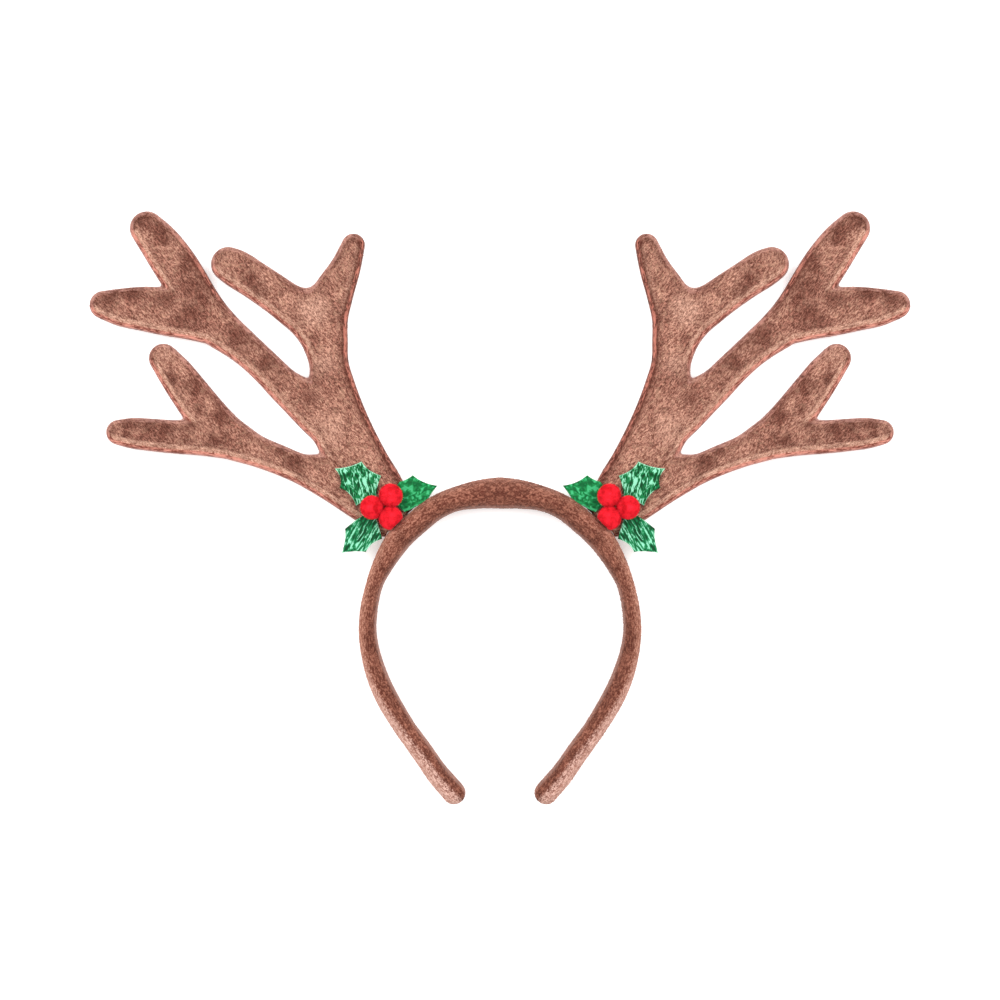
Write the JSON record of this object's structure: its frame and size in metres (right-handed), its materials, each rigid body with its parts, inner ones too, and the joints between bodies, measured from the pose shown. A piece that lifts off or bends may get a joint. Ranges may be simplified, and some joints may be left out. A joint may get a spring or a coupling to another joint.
{
  "type": "reindeer antler headband",
  "caption": "Padded plush hoop headband with flat stuffed branching antlers, each with a sprig of holly leaves and pompom berries at its foot.",
  "frame": {"origin": "on the surface the headband lies on, under the middle of its bounding box", "axes": "+Z out of the front of the headband, +Y from the hoop's tips to the antlers, +X across to one side antler"},
  "size_m": [0.4112, 0.2968, 0.0265],
  "materials": {
    "plush": "short crushed brown plush over soft filling",
    "holly_cloth": "cut green cloth with a crinkled metallic sheen",
    "pompom": "fuzzy red pompom"
  },
  "bodies": {
    "root": {"headband": "plush", "antler_left": "plush", "antler_right": "plush", "leaf_left_1": "holly_cloth", "leaf_left_2": "holly_cloth", "leaf_left_3": "holly_cloth", "leaf_right_1": "holly_cloth", "leaf_right_2": "holly_cloth", "leaf_right_3": "holly_cloth", "berry_left_1": "pompom", "berry_left_2": "pompom", "berry_left_3": "pompom", "berry_right_1": "pompom", "berry_right_2": "pompom", "berry_right_3": "pompom"}
  },
  "joints": []
}
